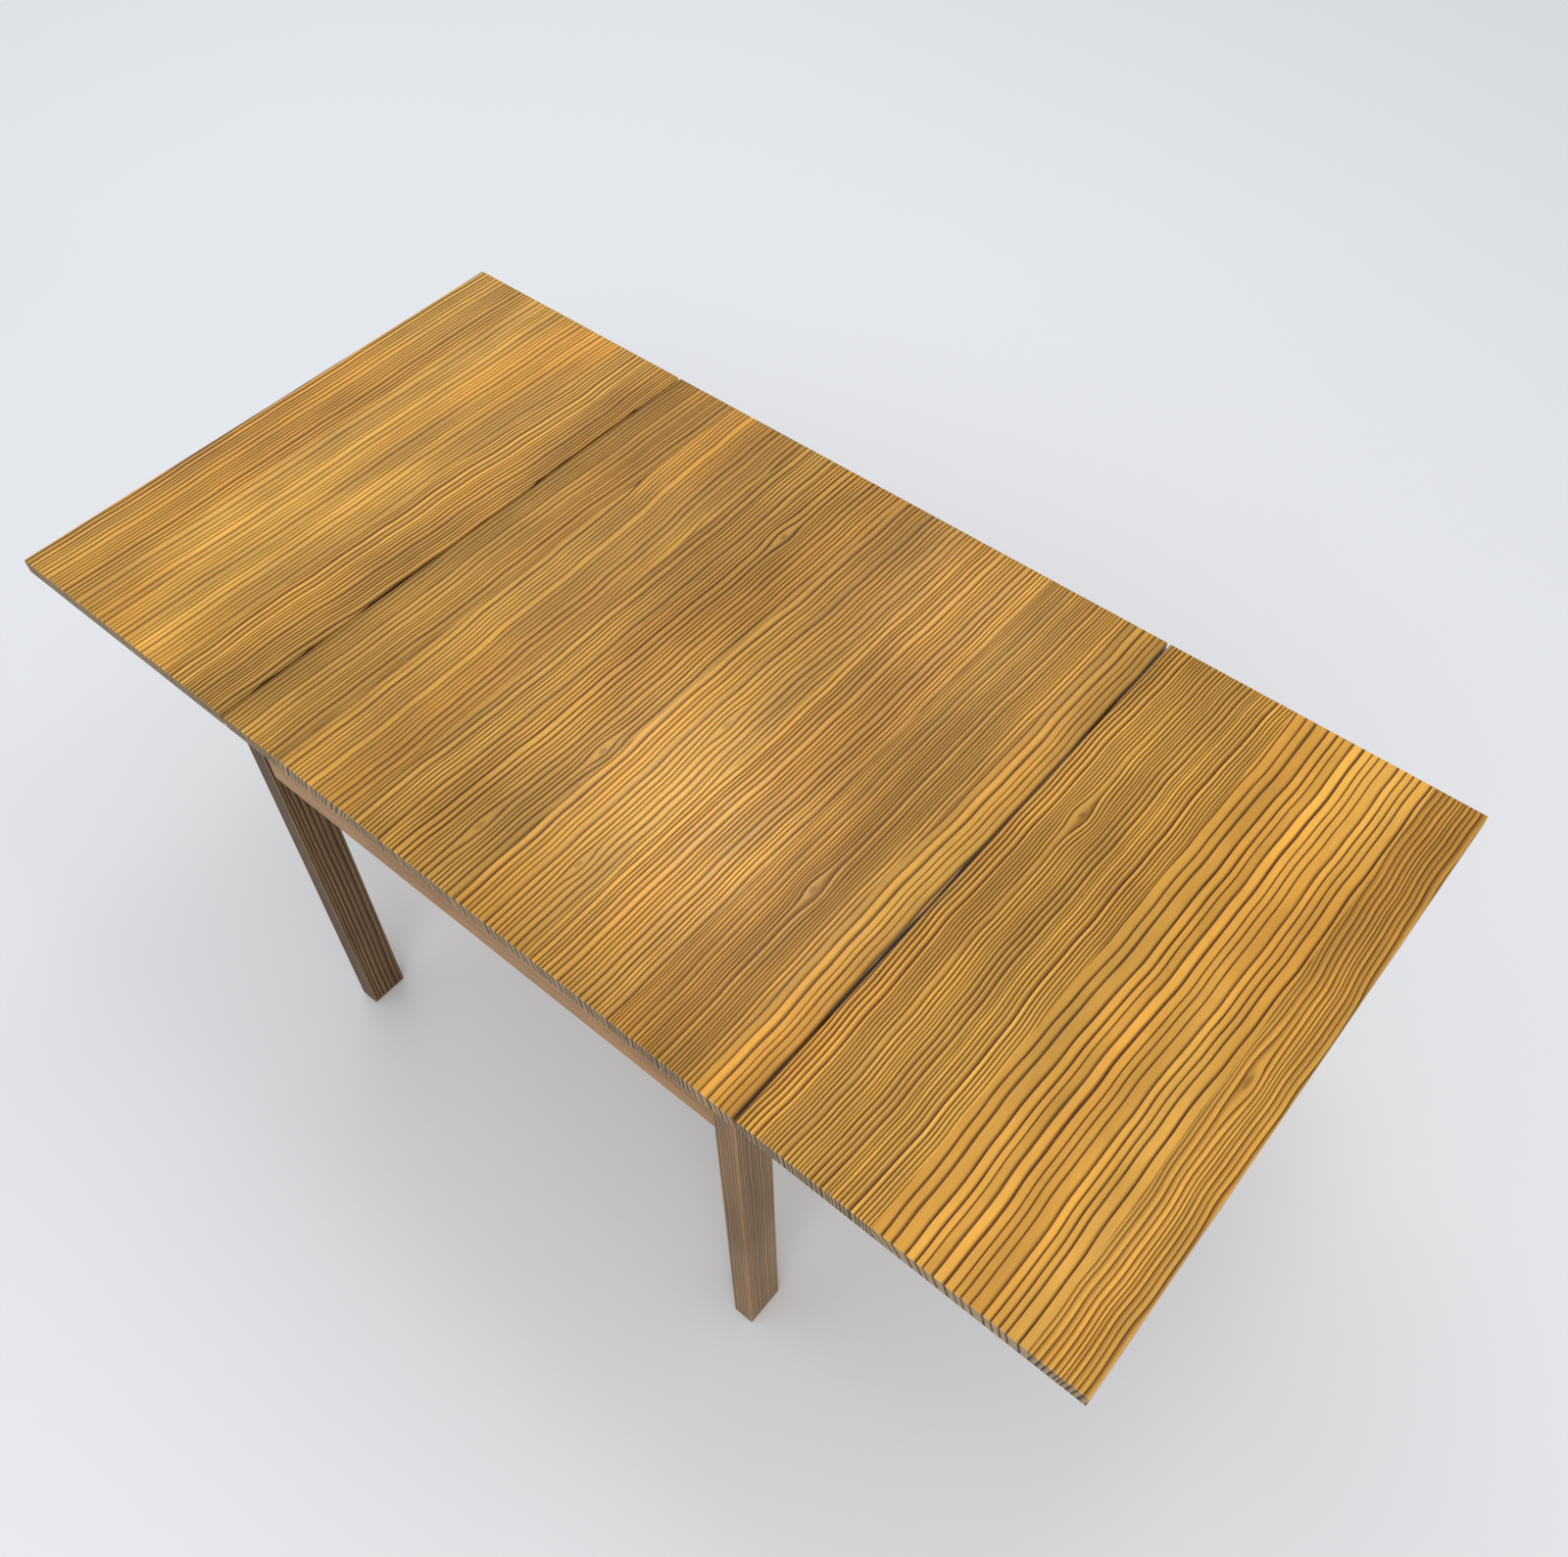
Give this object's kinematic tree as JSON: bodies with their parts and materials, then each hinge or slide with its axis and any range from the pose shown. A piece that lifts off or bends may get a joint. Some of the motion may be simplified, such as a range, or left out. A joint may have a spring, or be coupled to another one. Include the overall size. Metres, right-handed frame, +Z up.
{
  "type": "gateleg table",
  "caption": "Low rectangular softwood table with a fixed centre, drop leaves hinged at its ends and a swinging gate leg under each leaf.",
  "frame": {"origin": "on the floor under the middle of the table, bottom centre of its box with both leaves up", "axes": "+X along the length towards the right leaf, +Y across towards the side that the gates hang on, +Z up"},
  "size_m": [1.2526, 0.623, 0.514],
  "materials": {
    "oiled_top": "brushed and oiled, raised grain, satin",
    "frame_wood": "oiled, satin",
    "steel": "zinc plated"
  },
  "bodies": {
    "table_frame": {"centre_panel": "oiled_top", "front_apron": "frame_wood", "back_apron": "frame_wood", "left_end_rail": "frame_wood", "right_end_rail": "frame_wood", "front_left_leg": "frame_wood", "back_left_leg": "frame_wood", "front_right_leg": "frame_wood", "back_right_leg": "frame_wood", "front_left_corner_block": "frame_wood", "back_left_corner_block": "frame_wood", "front_right_corner_block": "frame_wood", "back_right_corner_block": "frame_wood", "front_left_hinge_frame_plate": "steel", "front_left_hinge_pin": "steel", "back_left_hinge_frame_plate": "steel", "back_left_hinge_pin": "steel", "front_right_hinge_frame_plate": "steel", "front_right_hinge_pin": "steel", "back_right_hinge_frame_plate": "steel", "back_right_hinge_pin": "steel", "left_gate_lower_hinge_leg_plate": "steel", "left_gate_lower_hinge_pin": "steel", "left_gate_upper_hinge_leg_plate": "steel", "left_gate_upper_hinge_pin": "steel", "right_gate_lower_hinge_leg_plate": "steel", "right_gate_lower_hinge_pin": "steel", "right_gate_upper_hinge_leg_plate": "steel", "right_gate_upper_hinge_pin": "steel"},
    "left_leaf_body": {"left_leaf": "oiled_top", "front_left_hinge_leaf_plate": "steel", "back_left_hinge_leaf_plate": "steel", "left_gate_stop": "frame_wood", "left_turn_button_screw": "steel"},
    "left_gate": {"left_gate_stile": "frame_wood", "left_gate_leg": "frame_wood", "left_gate_upper_rail": "frame_wood", "left_gate_lower_rail": "frame_wood", "left_gate_lower_hinge_gate_plate": "steel", "left_gate_upper_hinge_gate_plate": "steel"},
    "left_button": {"left_turn_button": "frame_wood"},
    "right_leaf_body": {"right_leaf": "oiled_top", "front_right_hinge_leaf_plate": "steel", "back_right_hinge_leaf_plate": "steel", "right_gate_stop": "frame_wood", "right_turn_button_screw": "steel"},
    "right_gate": {"right_gate_stile": "frame_wood", "right_gate_leg": "frame_wood", "right_gate_upper_rail": "frame_wood", "right_gate_lower_rail": "frame_wood", "right_gate_lower_hinge_gate_plate": "steel", "right_gate_upper_hinge_gate_plate": "steel"},
    "right_button": {"right_turn_button": "frame_wood"}
  },
  "joints": [
    {"name": "left_leaf_drop", "type": "hinge", "parent": "table_frame", "child": "left_leaf_body", "pos_m": [-0.3109, 0, 0.4948], "axis": [0, -1, 0], "range_deg": [0, 90]},
    {"name": "left_gate_swing", "type": "hinge", "parent": "table_frame", "child": "left_gate", "pos_m": [-0.305, 0.2588, 0.271], "axis": [0, 0, 1], "range_deg": [-60, 0]},
    {"name": "left_button_turn", "type": "hinge", "parent": "left_leaf_body", "child": "left_button", "pos_m": [-0.51637, 0.09751, 0.4932], "axis": [0, 0, 1], "range_deg": [0, 90]},
    {"name": "right_leaf_drop", "type": "hinge", "parent": "table_frame", "child": "right_leaf_body", "pos_m": [0.3109, 0, 0.4948], "axis": [0, 1, 0], "range_deg": [0, 90]},
    {"name": "right_gate_swing", "type": "hinge", "parent": "table_frame", "child": "right_gate", "pos_m": [0.305, 0.2588, 0.271], "axis": [0, 0, -1], "range_deg": [-60, 0]},
    {"name": "right_button_turn", "type": "hinge", "parent": "right_leaf_body", "child": "right_button", "pos_m": [0.51637, 0.09751, 0.4932], "axis": [0, 0, 1], "range_deg": [0, 90]}
  ]
}
